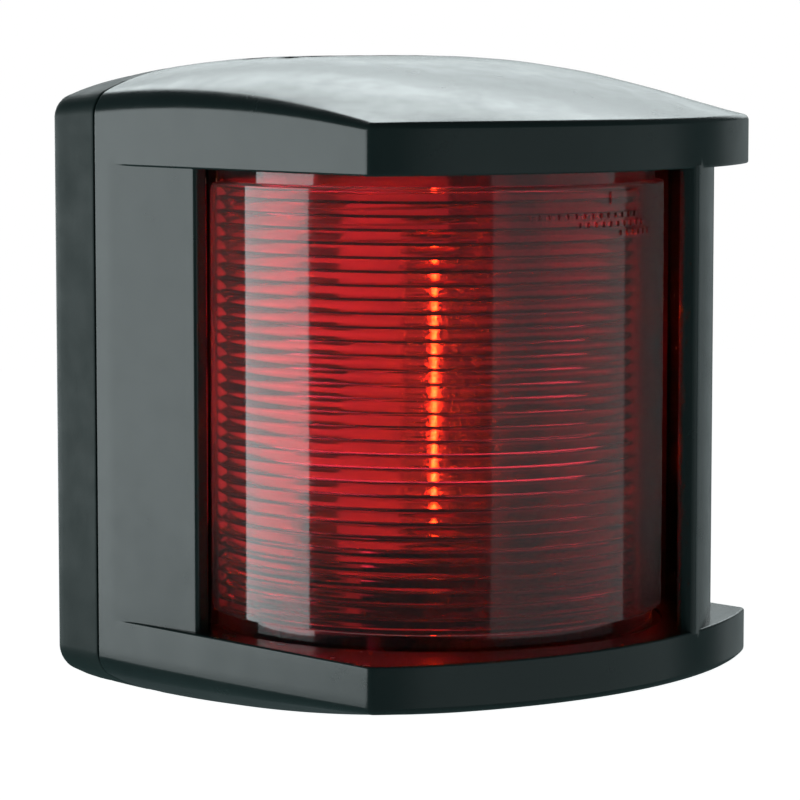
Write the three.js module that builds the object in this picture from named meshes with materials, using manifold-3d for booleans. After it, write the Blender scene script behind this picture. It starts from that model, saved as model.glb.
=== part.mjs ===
// Port sidelight for a small boat, mounted on a vertical wall.
// Millimetres. +X is to the right seen from the front, -Y is out of the wall, +Z is up.
// The origin is the centre of the flat back face.
import * as THREE from 'three';
import { mergeVertices } from 'three/addons/utils/BufferGeometryUtils.js';
import Module from 'manifold-3d';

// Driving dimensions
const WIDTH = 75;              // across both caps and the base
const BASE_DEPTH = 10.9;       // wall to the joint between base and cover
const SIDE_DEPTH = 58.7;       // joint to the front corners of the caps
const FRONT_RADIUS = 67;       // arc of the caps' front edge
const WINDOW_HALF = 32.8;      // half the clear height between the caps
// Domed top and bottom: height of the crest, its fall to the sides, its distance in front of the joint,
// and the height of the level front edge
const TOP_DOME = { crest: 48.4, sideFall: 5.5, crestOut: 17, rim: 39.8 };
const BOTTOM_DOME = { crest: 46.9, sideFall: 6.5, crestOut: 2, rim: 39.4 };
const LAMP_OUT = 31.5;         // joint to the bulb's axis
const LENS_FACE_RADIUS = 33.1; // raised outer face of the lens
const LENS_RADIUS = 31.8;      // outside of the lens wall
const LENS_INNER_RADIUS = 30.2;
const LENS_FACE_HALF = 30.7;
const LENS_HALF = 35.4;
const LENS_END = 124;          // half the lens wall's sweep, degrees from straight ahead
const LENS_FACE_END = 118;
const SEAT_RADIUS = 33.4;      // round pocket in both caps that holds the lens
const SEAT_HALF = 36;
const HOLLOW_RADIUS = 28;      // space above and below the bulb
const SCREEN_RADIUS = 40.3;   // curved wall that cuts the light off
const SCREEN_START = 22.5;     // degrees to the right of straight out
const SCREEN_THICKNESS = 2.8;
const WALL = 3.2;
const RIM = 3.6;               // base wall
const FLOOR = 2.6;             // base floor
const PANEL_END = 21.5;        // left side panel ends this far in front of the joint
const PANEL_RECESS = 0.9;
const HOLLOW_TOP = 40;         // hollow of the cover
const JAMB = [10.5, 14.3];     // upright behind each end of the lens
const JAMB_INNER = 27.6;
const GAP = 0.3;
const BULB_TIP = 20.5;         // half a 41 mm festoon bulb
const BULB_RADIUS = 5.2;
const CAP_START = 13.7;        // the bulb's end caps begin this far from its middle
const GLASS_HALF = 13.4;
const CONTACT_Z = 19.4;
const CONTACT_THICKNESS = 0.8;
const CONTACT_HALF = 4;        // half the width of the contact strips
const CARRIER = { halfWidth: 30, top: 30.5, bottom: -20.5, back: 2, front: 4.4, corner: 4 };
const POST = { x: 22, z: 5, radius: 3.2, tip: 4.7 };  // carrier posts stand on bosses of the base
const RIVET_Z = 12;
const CABLE_Z = -11;
const CABLE_HOLE_RADIUS = 5.3;
const WALL_SCREWS = [[0, 34.2], [-24, -30], [24, -30]];
const WALL_SCREW_RADIUS = 2.25;
const LENS_SCREWS = [[-31, 22], [31, 22], [-31, -22], [31, -22]];
const EAR = { outer: 33.6, halfHeight: 30, back: 8.4, front: 10.2 };  // lens ears behind the jambs
const TONGUE_TOP = { half: 12, low: 36.6, high: 39.2, out: 4.6 };     // tongues of the base inside the cover
const TONGUE_BOTTOM = { half: 9, low: -38.6, high: -33.4, out: 7 };
const LIP_TOP = -39.6;         // floor of the hollow, and the lip that the locking screw clamps
const LIP_BOTTOM = -41.6;
const LOCK_OUT = 3.8;
const TERMINAL_Z = -28.6;
const TERMINAL_X = 6;
const TERMINAL_WIRE_Y = -6.6;
const LEAD_RADIUS = 0.9;
const REACH = 60;              // longer than any part of the light, for cutting tools

const D2R = Math.PI / 180;
const HALF = WIDTH / 2;
const wasm = await Module();
wasm.setup();

// Distance in front of the joint, as a Y coordinate.
const out = (m) => -(BASE_DEPTH + m);

function solid(geometry) {
  const plain = geometry.clone();
  plain.deleteAttribute('normal');
  plain.deleteAttribute('uv');
  const merged = mergeVertices(plain, 1e-4);
  const mesh = new wasm.Mesh({
    numProp: 3,
    vertProperties: new Float32Array(merged.attributes.position.array),
    triVerts: new Uint32Array(merged.index.array),
  });
  return new wasm.Manifold(mesh);
}

function toGeometry(manifold) {
  const mesh = manifold.getMesh();
  const geometry = new THREE.BufferGeometry();
  geometry.setAttribute('position', new THREE.BufferAttribute(new Float32Array(mesh.vertProperties), 3));
  geometry.setIndex(new THREE.BufferAttribute(new Uint32Array(mesh.triVerts), 1));
  geometry.computeVertexNormals();
  return geometry;
}

const cut = (body, ...tools) => tools.reduce((a, b) => a.subtract(b), body);
const join = (body, ...more) => more.reduce((a, b) => a.add(b), body);

// Low and high ends of the stretch from a to b, on the negative or the positive side.
const sided = (side, a, b) => [Math.min(side * a, side * b), Math.max(side * a, side * b)];

// Box given by its low and high corners.
function box(x0, x1, y0, y1, z0, z1) {
  const geometry = new THREE.BoxGeometry(x1 - x0, Math.abs(y1 - y0), z1 - z0);
  geometry.translate((x0 + x1) / 2, (y0 + y1) / 2, (z0 + z1) / 2);
  return solid(geometry);
}

// Round bar between two heights along one axis, centred on the other two coordinates.
function bar(axis, radius, from, to, a, b, sides = 28) {
  const geometry = new THREE.CylinderGeometry(radius, radius, to - from, sides);
  if (axis === 'x') geometry.rotateZ(Math.PI / 2);
  if (axis === 'z') geometry.rotateX(Math.PI / 2);
  const mid = (from + to) / 2;
  if (axis === 'x') geometry.translate(mid, a, b);
  if (axis === 'y') geometry.translate(a, mid, b);
  if (axis === 'z') geometry.translate(a, b, mid);
  return solid(geometry);
}

// Prism with an outline in the XY plane.
function prism(shape, z0, z1, curveSegments = 24) {
  const geometry = new THREE.ExtrudeGeometry(shape, { depth: z1 - z0, bevelEnabled: false, curveSegments });
  geometry.translate(0, 0, z0);
  return solid(geometry);
}

// Ring sector around the bulb's axis. Angles are in degrees from straight ahead, positive to the right.
function sector(r0, r1, from, to, z0, z1, segments = 64) {
  const shape = new THREE.Shape();
  const a0 = (from - 90) * D2R;
  const a1 = (to - 90) * D2R;
  shape.absarc(0, 0, r1, a0, a1, false);
  shape.absarc(0, 0, r0, a1, a0, true);
  const steps = Math.max(3, Math.round(segments * (to - from) / 360));
  const options = { depth: z1 - z0, bevelEnabled: false, curveSegments: steps };
  const geometry = new THREE.ExtrudeGeometry(shape, options);
  geometry.translate(0, out(LAMP_OUT), z0);
  return solid(geometry);
}

function drum(radius, z0, z1, sides = 72) {
  return bar('z', radius, z0, z1, 0, out(LAMP_OUT), sides);
}

// Solid of revolution about the Z axis, from (radius, height) points.
function turned(points, sides = 24) {
  const geometry = new THREE.LatheGeometry(points.map(([r, h]) => new THREE.Vector2(r, h)), sides);
  geometry.rotateX(Math.PI / 2);
  return geometry;
}

const ARC_CENTRE_OUT = SIDE_DEPTH - Math.sqrt(FRONT_RADIUS ** 2 - HALF ** 2);

// Height of a dome at x, at a distance m in front of the joint. It is level along the caps' front edge.
function domeHeight({ crest, sideFall, crestOut, rim }, x, m) {
  const front = ARC_CENTRE_OUT + Math.sqrt(FRONT_RADIUS ** 2 - x ** 2);
  const ridge = crest - sideFall * (x / HALF) ** 4;
  const share = (front - m) / (front - crestOut);
  return rim + (ridge - rim) * (1 - (1 - share) ** 2);
}

// Space between the two domes, shrunk by an inset.
function crowned(inset = 0) {
  const margin = 1;
  const depth = BASE_DEPTH + ARC_CENTRE_OUT + FRONT_RADIUS + 2 * margin;
  const geometry = new THREE.BoxGeometry(WIDTH + 2 * margin, depth, 2, 18, 18, 1);
  geometry.translate(0, margin - depth / 2, 0);
  const places = geometry.attributes.position;
  for (let i = 0; i < places.count; i += 1) {
    const x = places.getX(i);
    const m = -places.getY(i) - BASE_DEPTH;
    const top = domeHeight(TOP_DOME, x, m) - inset;
    const bottom = inset - domeHeight(BOTTOM_DOME, x, m);
    places.setZ(i, places.getZ(i) > 0 ? top : bottom);
  }
  return solid(geometry);
}

// Outline of both caps seen from above.
function capOutline() {
  const half = Math.asin(HALF / FRONT_RADIUS);
  const shape = new THREE.Shape();
  shape.moveTo(-HALF, out(0));
  shape.lineTo(-HALF, out(SIDE_DEPTH));
  shape.absarc(0, out(ARC_CENTRE_OUT), FRONT_RADIUS, -Math.PI / 2 - half, -Math.PI / 2 + half, false);
  shape.lineTo(HALF, out(0));
  shape.closePath();
  return shape;
}

const crown = crowned();

// Slice of the light's body from the wall to y, shrunk by an inset.
function slice(inset, front, back) {
  const half = HALF - inset;
  return box(-half, half, front, back, -REACH, REACH).intersect(crowned(inset));
}

const BASE_FRONT = GAP - BASE_DEPTH;
const GROOVE = { outer: 0.8, inner: 2.8, depth: 1.5 };

// Tongue of the base with a web that carries it from the base's wall
function tongue({ half, low, high, out: reach }, webLow, webHigh) {
  const plate = box(-half, half, out(reach), BASE_FRONT + 4, low, high);
  const web = box(-half, half, BASE_FRONT - 0.01, BASE_FRONT + RIM, webLow, webHigh);
  return plate.add(web.intersect(crown));
}

// Base tray, fixed to the wall
function basePlate() {
  const tray = slice(0, BASE_FRONT, 0).subtract(slice(RIM, BASE_FRONT - 1, -FLOOR));
  const groove = slice(GROOVE.outer, BASE_FRONT - 1, BASE_FRONT + GROOVE.depth)
    .subtract(slice(GROOVE.inner, BASE_FRONT - 2, BASE_FRONT + GROOVE.depth + 1));
  const tongues = [tongue(TONGUE_TOP, TONGUE_TOP.low, 46), tongue(TONGUE_BOTTOM, -44.5, TONGUE_BOTTOM.high)];
  const bosses = [-1, 1].map((s) => bar('y', POST.radius, 0.3 - POST.tip, -1, s * POST.x, POST.z));
  const holes = WALL_SCREWS.map(([x, z]) => bar('y', WALL_SCREW_RADIUS, -12, 1, x, z));
  const pilots = [-1, 1].map((s) => bar('y', 1.3, -5, -1.2, s * POST.x, POST.z));
  const cable = bar('y', CABLE_HOLE_RADIUS, -12, 1, 0, CABLE_Z);
  const insert = bar('z', 2.9, -39, -34.6, 0, out(LOCK_OUT));
  const screw = bar('z', 1.9, -39, -30, 0, out(LOCK_OUT));
  return cut(join(tray, ...tongues, ...bosses), groove, ...holes, ...pilots, cable, insert, screw);
}

function baseGasket() {
  const back = BASE_FRONT + 1.2;
  return slice(GROOVE.outer + GAP, BASE_FRONT, back)
    .subtract(slice(GROOVE.inner - GAP, BASE_FRONT - 1, back + 1));
}

// Left wall of the cover, with a shallow recess that deepens towards its front edge
function leftPanel(halfHeight) {
  const shape = new THREE.Shape();
  shape.moveTo(-HALF, out(0));
  shape.lineTo(-HALF, out(4));
  shape.lineTo(-HALF + PANEL_RECESS, out(PANEL_END));
  shape.lineTo(-HALF + WALL, out(PANEL_END));
  shape.lineTo(-HALF + WALL, out(0));
  return prism(shape, -halfHeight, halfHeight);
}

// Right wall of the cover, which runs into the curved screen
function rightWall(halfHeight) {
  const sideReach = Math.sqrt(SCREEN_RADIUS ** 2 - HALF ** 2);
  const flat = box(HALF - WALL, HALF, out(LAMP_OUT + sideReach - 1), out(0), -halfHeight, halfHeight);
  const end = Math.asin(HALF / SCREEN_RADIUS) / D2R + 2;
  const curve = sector(SCREEN_RADIUS - SCREEN_THICKNESS, SCREEN_RADIUS, SCREEN_START, end,
    -halfHeight, halfHeight, 90);
  return flat.add(curve.intersect(prism(capOutline(), -REACH, REACH)));
}

// Cover: both caps, left panel and curved screen in one moulding
function shroud() {
  const outline = capOutline();
  const topCap = prism(outline, WINDOW_HALF, REACH).intersect(crown);
  const bottomCap = prism(outline, -REACH, -WINDOW_HALF).intersect(crown);
  const tall = WINDOW_HALF + 0.5;
  const jambDepth = [out(JAMB[1]), out(JAMB[0])];
  const jambs = [-1, 1].map((s) => box(...sided(s, JAMB_INNER, HALF - 1.4), ...jambDepth, -tall, tall));
  const body = join(topCap, bottomCap, leftPanel(tall), rightWall(tall), ...jambs);
  const reach = HALF - WALL;
  const behind = box(-reach, reach, out(JAMB[0]), out(-1), LIP_TOP, HOLLOW_TOP);
  const between = box(-JAMB_INNER, JAMB_INNER, out(JAMB[1] + 4), out(-1), LIP_TOP, HOLLOW_TOP);
  const seat = drum(SEAT_RADIUS, -SEAT_HALF, SEAT_HALF, 72);
  const deep = drum(HOLLOW_RADIUS, LIP_TOP, HOLLOW_TOP, 60);
  const recess = box(-6, 6, out(9), out(-1), -REACH, LIP_BOTTOM);
  const pilots = LENS_SCREWS.map(([x, z]) => bar('y', 1.4, out(13.7), out(10), x, z, 12));
  const slotRadius = 2.3;
  const slotEnd = bar('z', slotRadius, -REACH, -30, 0, out(LOCK_OUT));
  const slot = box(-slotRadius, slotRadius, out(LOCK_OUT), out(-1), -REACH, -30).add(slotEnd);
  return cut(body, behind, between, seat, deep, recess, slot, ...pilots);
}

// Red lens: a round wall with a raised outer face, and ears at both ends for its screws
function lensBody() {
  const wall = sector(LENS_INNER_RADIUS, LENS_RADIUS, -LENS_END, LENS_END, -LENS_HALF, LENS_HALF, 90);
  const face = sector(LENS_INNER_RADIUS + 0.6, LENS_FACE_RADIUS, -LENS_FACE_END, LENS_FACE_END,
    -LENS_FACE_HALF, LENS_FACE_HALF, 90);
  const end = LENS_INNER_RADIUS + 0.8;
  const footX = end * Math.sin(LENS_END * D2R);
  const footOut = LAMP_OUT + end * Math.cos(LENS_END * D2R);
  const heights = [-EAR.halfHeight, EAR.halfHeight];
  const sides = [-1, 1].map((s) => {
    const web = box(...sided(s, footX - 0.8, footX + 0.8), out(footOut + 0.6), out(EAR.back), ...heights);
    const ear = box(...sided(s, footX - 0.8, EAR.outer), out(EAR.front), out(EAR.back), ...heights);
    return web.add(ear);
  });
  const holes = LENS_SCREWS.map(([x, z]) => bar('y', 1.6, out(12), out(6), x, z, 16));
  return cut(join(wall, face, ...sides), ...holes);
}

function lensGasket() {
  const r0 = LENS_RADIUS + GAP;
  const r1 = SEAT_RADIUS - GAP;
  const inner = 33.2;
  const outer = 35.2;
  const top = sector(r0, r1, -LENS_END, LENS_END, inner, outer, 60);
  const bottom = sector(r0, r1, -LENS_END, LENS_END, -outer, -inner, 60);
  const legs = [-1, 1].map((s) => {
    const sweep = sided(s, LENS_FACE_END + 1.2, LENS_END);
    return sector(r0, r1, ...sweep, -outer, outer, 60);
  });
  return join(top, bottom, ...legs);
}

// Pan-head screw along -Z from a shank end at z = 0 to the head, with a cross slot.
function screwSolid(shankRadius, shankLength, headRadius, headHeight, sides = 20) {
  const shank = bar('z', shankRadius, 0, shankLength + 0.2, 0, 0, 14);
  const head = solid(turned([
    [0, shankLength], [headRadius, shankLength], [headRadius, shankLength + headHeight * 0.45],
    [headRadius * 0.72, shankLength + headHeight], [0, shankLength + headHeight],
  ], sides));
  const top = shankLength + headHeight;
  const heights = [top - headHeight * 0.5, top + 1];
  const w = headRadius * 0.13;
  const l = headRadius * 0.58;
  const cross = join(box(-w, w, -l, l, ...heights), box(-l, l, -w, w, ...heights));
  return cut(join(shank, head), cross);
}

// Bulb carrier with its pale plate and two hollow posts
function bulbCarrier() {
  const { halfWidth, top, bottom, back, front, corner } = CARRIER;
  const shape = new THREE.Shape();
  shape.moveTo(-halfWidth + corner, bottom);
  shape.lineTo(halfWidth - corner, bottom);
  shape.absarc(halfWidth - corner, bottom + corner, corner, -Math.PI / 2, 0, false);
  shape.lineTo(halfWidth, top - corner);
  shape.absarc(halfWidth - corner, top - corner, corner, 0, Math.PI / 2, false);
  shape.lineTo(-halfWidth + corner, top);
  shape.absarc(-halfWidth + corner, top - corner, corner, Math.PI / 2, Math.PI, false);
  shape.lineTo(-halfWidth, bottom + corner);
  shape.absarc(-halfWidth + corner, bottom + corner, corner, Math.PI, Math.PI * 1.5, false);
  const depth = front - back;
  const geometry = new THREE.ExtrudeGeometry(shape, { depth, bevelEnabled: false, curveSegments: 5 });
  geometry.rotateX(Math.PI / 2);
  geometry.translate(0, out(back), 0);
  const plate = solid(geometry);
  const { x, z, radius, tip } = POST;
  const posts = [-1, 1].map((s) => bar('y', radius, out(back + 0.5), -tip, s * x, z, 24));
  const bores = [-1, 1].map((s) => bar('y', 1.7, out(front + 1), -4, s * x, z, 20));
  const rivetHoles = [-1, 1].map((s) => bar('y', 1.5, out(front + 1), out(back - 1), 0, s * RIVET_Z, 18));
  return cut(join(plate, ...posts), ...bores, ...rivetHoles);
}

// Foot of a brass contact strip, riveted to the carrier
function contactFoot(side) {
  const back = out(CARRIER.front + GAP);
  const front = out(CARRIER.front + GAP + CONTACT_THICKNESS);
  const foot = box(-CONTACT_HALF, CONTACT_HALF, front, back, ...sided(side, RIVET_Z - 4, CONTACT_Z - GAP));
  return cut(foot, bar('y', 1.5, out(10), out(1), 0, side * RIVET_Z, 18));
}

// Springy arm of the strip, with an open fork that grips the bulb's tip
function contactArm(side) {
  const arm = box(-CONTACT_HALF, CONTACT_HALF, out(LAMP_OUT + 5), out(CARRIER.front + GAP),
    ...sided(side, CONTACT_Z, CONTACT_Z + CONTACT_THICKNESS));
  const through = sided(side, CONTACT_Z - 1, CONTACT_Z + CONTACT_THICKNESS + 1);
  const forkRadius = 1.9;
  const fork = box(-forkRadius, forkRadius, out(LAMP_OUT + 6), out(LAMP_OUT), ...through);
  const seat = bar('z', forkRadius, ...through, 0, out(LAMP_OUT), 24);
  return cut(arm, fork, seat);
}

// Rivet that holds a contact foot on the carrier
function rivet(side) {
  const shaftBack = out(CARRIER.back - 0.6);
  const face = out(CARRIER.front + GAP + CONTACT_THICKNESS);
  const shaft = bar('y', 1.2, face - 0.5, shaftBack, 0, side * RIVET_Z, 16);
  const head = bar('y', 2.4, face - 1.3, face - GAP, 0, side * RIVET_Z, 18);
  return join(shaft, head);
}

// Glass tube of the bulb, open at both ends
function bulbGlass() {
  const outer = 5;
  const inner = 4.3;
  return ring(inner, outer, 2 * GLASS_HALF, 32).translate(0, 0, -GLASS_HALF);
}

// Metal end cap with its contact tip
function bulbCap(side) {
  const tip = 1.5;
  const cap = turned([
    [0, CAP_START], [BULB_RADIUS, CAP_START], [BULB_RADIUS, 16.9], [3.8, 18.2], [tip, 18.9],
    [tip, BULB_TIP - 0.3], [1.1, BULB_TIP], [0, BULB_TIP],
  ], 28);
  if (side < 0) cap.rotateX(Math.PI);
  return cap;
}

// Two-pole terminal block at the foot of the base, open to the front
function terminalBlock() {
  const body = box(-12.5, 12.5, -12.4, -FLOOR - GAP, TERMINAL_Z - 4, TERMINAL_Z + 4);
  const wells = [-1, 1].map((s) => box(s * TERMINAL_X - 3.4, s * TERMINAL_X + 3.4, -13, -4.6,
    TERMINAL_Z - 2.9, TERMINAL_Z + 2.9));
  const entries = [-1, 1].map(wireHole);
  return cut(body, ...wells, ...entries);
}

function wireHole(side) {
  return bar('z', 1.5, TERMINAL_Z - 6, TERMINAL_Z + 6, side * TERMINAL_X, TERMINAL_WIRE_Y, 16);
}

// Brass cage clamp in one well of the terminal block
function terminalClamp(side) {
  const x = side * TERMINAL_X;
  const body = box(x - 3.1, x + 3.1, -9.8, -4.9, TERMINAL_Z - 2.6, TERMINAL_Z + 2.6);
  const thread = bar('y', 1.45, -11, TERMINAL_WIRE_Y, x, TERMINAL_Z, 16);
  return cut(body, wireHole(side), thread);
}

// Round lead along a smooth curve through a few points
function lead(points) {
  const curve = new THREE.CatmullRomCurve3(points.map((p) => new THREE.Vector3(...p)), false, 'centripetal');
  const section = new THREE.Shape();
  section.absarc(0, 0, LEAD_RADIUS, 0, Math.PI * 2, false);
  const options = { steps: 26, extrudePath: curve, curveSegments: 5, bevelEnabled: false };
  return new THREE.ExtrudeGeometry(section, options);
}

// Rubber seal in the cable hole; heights are distances from the wall
function cableGrommet() {
  const bore = 3.6;
  return turned([
    [bore, 0.4], [5, 0.4], [5, 2.6], [6.6, 2.9], [6.6, 4.4], [4.6, 5.6], [bore, 5.6], [bore, 0.4],
  ], 36);
}

// Ring with a square section
function ring(inner, outer, height, sides) {
  return turned([[inner, 0], [outer, 0], [outer, height], [inner, height], [inner, 0]], sides);
}

// Assembly
const light = new THREE.Group();
const cover = new THREE.Group();
light.add(cover);

function finish(color, roughness, metalness = 0) {
  return new THREE.MeshStandardMaterial({ color, roughness, metalness });
}
const black = () => finish('#2b3334', 0.42);
const rubber = () => finish('#161818', 0.85);
const brass = () => finish('#b8924a', 0.35, 1);
const steel = () => finish('#b9bdc0', 0.3, 1);

function place(name, shape, material, parent = light) {
  const geometry = shape instanceof THREE.BufferGeometry ? shape : toGeometry(shape);
  const mesh = new THREE.Mesh(geometry, material);
  mesh.name = name;
  parent.add(mesh);
  return mesh;
}

place('base_plate', basePlate(), black());
place('base_gasket', baseGasket(), rubber());
place('bulb_carrier', bulbCarrier(), finish('#e9e5da', 0.5));
place('terminal_block', terminalBlock(), finish('#d9d4c6', 0.5));

const grommet = place('cable_grommet', cableGrommet(), rubber());
grommet.rotation.x = Math.PI / 2;
grommet.position.set(0, 0, CABLE_Z);

const ends = [['top', 1], ['bottom', -1]];
for (const [name, side] of ends) {
  place(`contact_foot_${name}`, contactFoot(side), brass());
  place(`contact_arm_${name}`, contactArm(side), brass());
  place(`contact_rivet_${name}`, rivet(side), brass());
  const cap = place(`bulb_cap_${name}`, bulbCap(side), steel());
  cap.position.y = out(LAMP_OUT);
}
const glass = place('bulb_glass', bulbGlass(), finish('#f4f6f5', 0.05));
glass.position.y = out(LAMP_OUT);
const filamentEnd = GLASS_HALF - 0.1;
const filament = bar('z', 0.4, -filamentEnd, filamentEnd, 0, out(LAMP_OUT), 10);
place('bulb_filament', filament, finish('#ffcf7a', 0.6));

for (const [name, side] of [['left', -1], ['right', 1]]) {
  place(`terminal_clamp_${name}`, terminalClamp(side), brass());
  const screw = place(`terminal_screw_${name}`, screwSolid(1.2, 3.6, 2.2, 1.4), steel());
  screw.rotation.x = Math.PI / 2;
  screw.position.set(side * TERMINAL_X, -8.3, TERMINAL_Z);
  const carrierScrew = place(`carrier_screw_${name}`, screwSolid(1.25, 12.6, 2.9, 1.8), steel());
  carrierScrew.rotation.x = Math.PI / 2;
  carrierScrew.position.set(side * POST.x, -3, POST.z);
}

// Each lead runs from its terminal to a rivet's tail behind the carrier
const leadStart = (x) => [[x, TERMINAL_WIRE_Y, TERMINAL_Z + 3.3], [x, -6.8, TERMINAL_Z + 8]];
place('lead_top', lead([
  ...leadStart(TERMINAL_X), [9, -7, -10], [10, -7.4, 2], [4.5, -8.6, 10], [0, -8.6, RIVET_Z],
]), finish('#7a2b25', 0.5));
place('lead_bottom', lead([
  ...leadStart(-TERMINAL_X), [-9.4, -7.6, -16.5], [-5, -8.6, -12.5], [0, -8.6, -RIVET_Z],
]), finish('#1c1c1e', 0.5));

// Locking screw from below, through the cover's lip into a brass insert in the base
const insert = place('lock_insert', ring(1.9, 2.6, 3.6, 24), brass());
insert.position.set(0, out(LOCK_OUT), -38.5);

const washerHeight = 0.6;
const washer = place('lock_washer', ring(1.85, 3.6, washerHeight, 28), steel());
washer.position.set(0, out(LOCK_OUT), LIP_BOTTOM - GAP - washerHeight);

const lockShank = 9.5;
const lockScrew = place('lock_screw', screwSolid(1.55, lockShank, 3.2, 2.2, 28), steel());
lockScrew.rotation.x = Math.PI;
lockScrew.position.set(0, out(LOCK_OUT), LIP_BOTTOM - 2 * GAP - washerHeight + lockShank);

place('shroud', shroud(), black(), cover);
place('lens', lensBody(), finish('#c4122f', 0.12), cover);
place('lens_gasket', lensGasket(), rubber(), cover);
LENS_SCREWS.forEach(([x, z], i) => {
  const screw = place(`lens_screw_${i + 1}`, screwSolid(1.1, 5, 2.3, 1.3), steel(), cover);
  screw.rotation.x = -Math.PI / 2;
  screw.position.set(x, out(13.4), z);
});

export default light;
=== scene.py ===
import math
import bpy
import bmesh
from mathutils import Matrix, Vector


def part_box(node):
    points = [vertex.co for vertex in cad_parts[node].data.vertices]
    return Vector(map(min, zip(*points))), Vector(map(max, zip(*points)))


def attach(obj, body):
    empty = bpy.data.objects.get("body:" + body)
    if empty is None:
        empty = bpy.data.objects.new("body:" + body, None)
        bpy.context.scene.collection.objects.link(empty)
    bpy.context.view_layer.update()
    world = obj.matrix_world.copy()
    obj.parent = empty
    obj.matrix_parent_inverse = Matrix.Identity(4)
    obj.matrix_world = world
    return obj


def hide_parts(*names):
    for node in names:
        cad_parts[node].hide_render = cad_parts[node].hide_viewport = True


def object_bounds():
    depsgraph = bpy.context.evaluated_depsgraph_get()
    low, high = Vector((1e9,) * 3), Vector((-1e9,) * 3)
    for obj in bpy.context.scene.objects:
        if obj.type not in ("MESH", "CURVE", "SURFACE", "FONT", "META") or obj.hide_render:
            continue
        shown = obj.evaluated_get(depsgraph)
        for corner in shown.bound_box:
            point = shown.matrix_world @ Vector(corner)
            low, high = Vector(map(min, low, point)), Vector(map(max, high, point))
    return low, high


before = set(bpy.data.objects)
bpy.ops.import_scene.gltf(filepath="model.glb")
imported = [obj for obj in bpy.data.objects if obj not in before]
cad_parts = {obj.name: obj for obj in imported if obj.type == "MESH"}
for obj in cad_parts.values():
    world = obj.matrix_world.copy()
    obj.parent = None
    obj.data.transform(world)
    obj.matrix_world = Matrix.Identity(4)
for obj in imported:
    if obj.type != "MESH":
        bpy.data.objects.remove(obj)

cad_box = [list(corner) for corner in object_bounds()]

# Sizes in millimetres, in the frame of the part: +X right, -Y out of the wall, +Z up.
MM = 0.001


def frame_box(node):
    low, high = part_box(node)
    return [v / MM for v in low], [v / MM for v in high]


COVER_HIGH = frame_box("shroud")[1]
FACE_LOW, FACE_HIGH = frame_box("lens")
CAP_LOW, CAP_HIGH = frame_box("bulb_cap_top")
REACH = 60.0                               # past every side of the light, for cutting tools

# Housing
HALF = COVER_HIGH[0]
JOINT = COVER_HIGH[1]                      # rear edge of the cover
BASE_FRONT = JOINT + 0.3                   # front edge of the base, a sealing gap behind it
LAMP_Y = (CAP_LOW[1] + CAP_HIGH[1]) / 2    # the bulb's axis
CORNER_Y = JOINT - 58.7
FRONT_RADIUS = 67.0
ARC_CENTRE_Y = CORNER_Y + math.sqrt(FRONT_RADIUS ** 2 - HALF ** 2)
WINDOW_HALF = 32.8                         # half the clear height between the caps
# The domes: the crest's height, its fall to the sides, its place, and the height of the level front edge
TOP_DOME = (48.4, 5.5, JOINT - 17.0, 39.8)
BOTTOM_DOME = (46.9, 6.5, JOINT - 2.0, 39.4)
WALL = 3.2
SCREEN_RADIUS = 40.3
SCREEN_START = 22.5
SCREEN_THICKNESS = 2.8
PANEL_END = JOINT - 21.5
PANEL_RECESS = 0.9
JAMB_REAR, JAMB_FRONT = JOINT - 10.5, JOINT - 14.3
JAMB_INNER = 27.6
HOLLOW_TOP, HOLLOW_FLOOR = 40.0, -39.6
HOLLOW_RADIUS = 28.0
SEAT_RADIUS, SEAT_HALF = 33.4, 36.0
LIP_BOTTOM = -41.6
LOCK_Y = JOINT - 3.8
LOCK_SLOT = 2.3                            # half the width of the slot that the locking screw passes through
TRAY_RIM, TRAY_FLOOR = 3.6, 2.6
MOUNTING_HOLES = ((0, 34.2), (-24, -30), (24, -30))
CABLE_Z = -11.0

# Lens, by radius and height, and by degrees from straight ahead, positive to the right
LENS_RADIUS = 31.8
LENS_FACE_RADIUS = LAMP_Y - FACE_LOW[1]
LENS_INNER = 30.2
LENS_HALF = FACE_HIGH[2]
LENS_FACE_HALF = 30.7
LENS_END, LENS_FACE_END = 124.0, 118.0
RIB_PITCH = 1.9
RIB_DEPTH = 0.42
RIB_SWEEP = (-116.0, 20.0)                 # the ribs cover the sector that the light shines through
EAR_FRONT, EAR_REAR = JOINT - 10.2, JOINT - 8.4

# Bulb carrier and its fixings
CARRIER_FRONT, CARRIER_BACK = JOINT - 4.4, JOINT - 2.0
POST_X, POST_Z, POST_RADIUS = 22.0, 5.0, 3.2
RIVET_Z = 12.0
TERMINAL_X, TERMINAL_Z = 6.0, -28.6
LEAD_RADIUS = 0.9


# ---------------------------------------------------------------- mesh helpers

def mesh_object(name, verts, faces, smooth_angle=35.0):
    mesh = bpy.data.meshes.new(name)
    mesh.from_pydata([Vector(v) * MM for v in verts], [], faces)
    return finish_mesh(name, mesh, smooth_angle)


def finish_mesh(name, mesh, smooth_angle):
    tidy = bmesh.new()
    tidy.from_mesh(mesh)
    bmesh.ops.remove_doubles(tidy, verts=tidy.verts, dist=1e-6)
    bmesh.ops.recalc_face_normals(tidy, faces=tidy.faces)
    tidy.to_mesh(mesh)
    tidy.free()
    shade(mesh, smooth_angle)
    obj = bpy.data.objects.new(name, mesh)
    bpy.context.collection.objects.link(obj)
    return obj


def shade(mesh, angle=35.0):
    mesh.polygons.foreach_set("use_smooth", [True] * len(mesh.polygons))
    mesh.set_sharp_from_angle(angle=math.radians(angle))
    mesh.update()


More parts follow.
